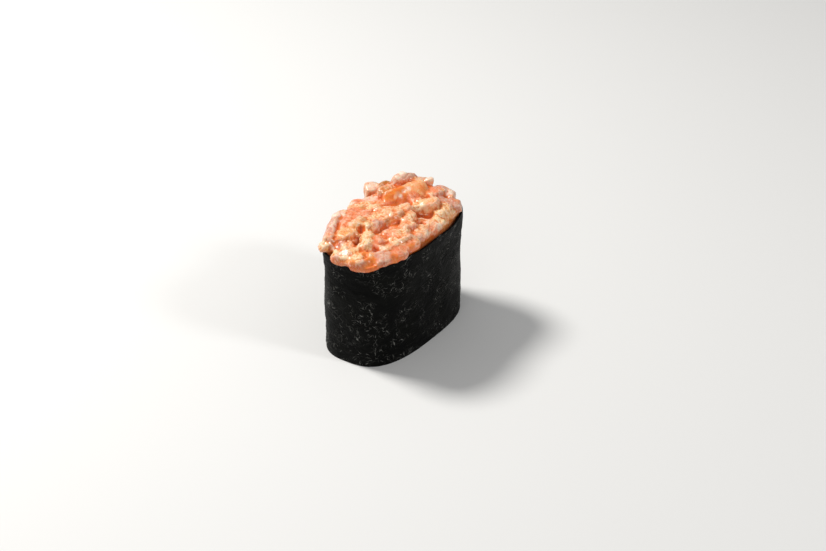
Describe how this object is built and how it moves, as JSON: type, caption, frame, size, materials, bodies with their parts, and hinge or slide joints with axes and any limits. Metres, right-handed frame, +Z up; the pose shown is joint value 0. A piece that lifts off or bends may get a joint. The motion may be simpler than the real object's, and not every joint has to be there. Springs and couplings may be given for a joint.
{
  "type": "salmon gunkan sushi",
  "caption": "Oval gunkan sushi: a standing band of nori round a block of rice, heaped with chopped salmon in a creamy sauce.",
  "frame": {"origin": "middle of the flat underside, on the surface that the sushi stands on", "axes": "+X along the oval towards its broader end, +Y across it towards the side with the nori's lap, +Z up"},
  "size_m": [0.0512, 0.0323, 0.0429],
  "materials": {
    "nori": "dry roasted seaweed, faintly glossy, with a fine wrinkled grain",
    "rice": "moist cooked rice grains",
    "salmon": "wet chopped raw salmon in a pale creamy sauce"
  },
  "bodies": {
    "root": {"nori": "nori", "rice": "rice", "topping": "salmon"}
  },
  "joints": []
}
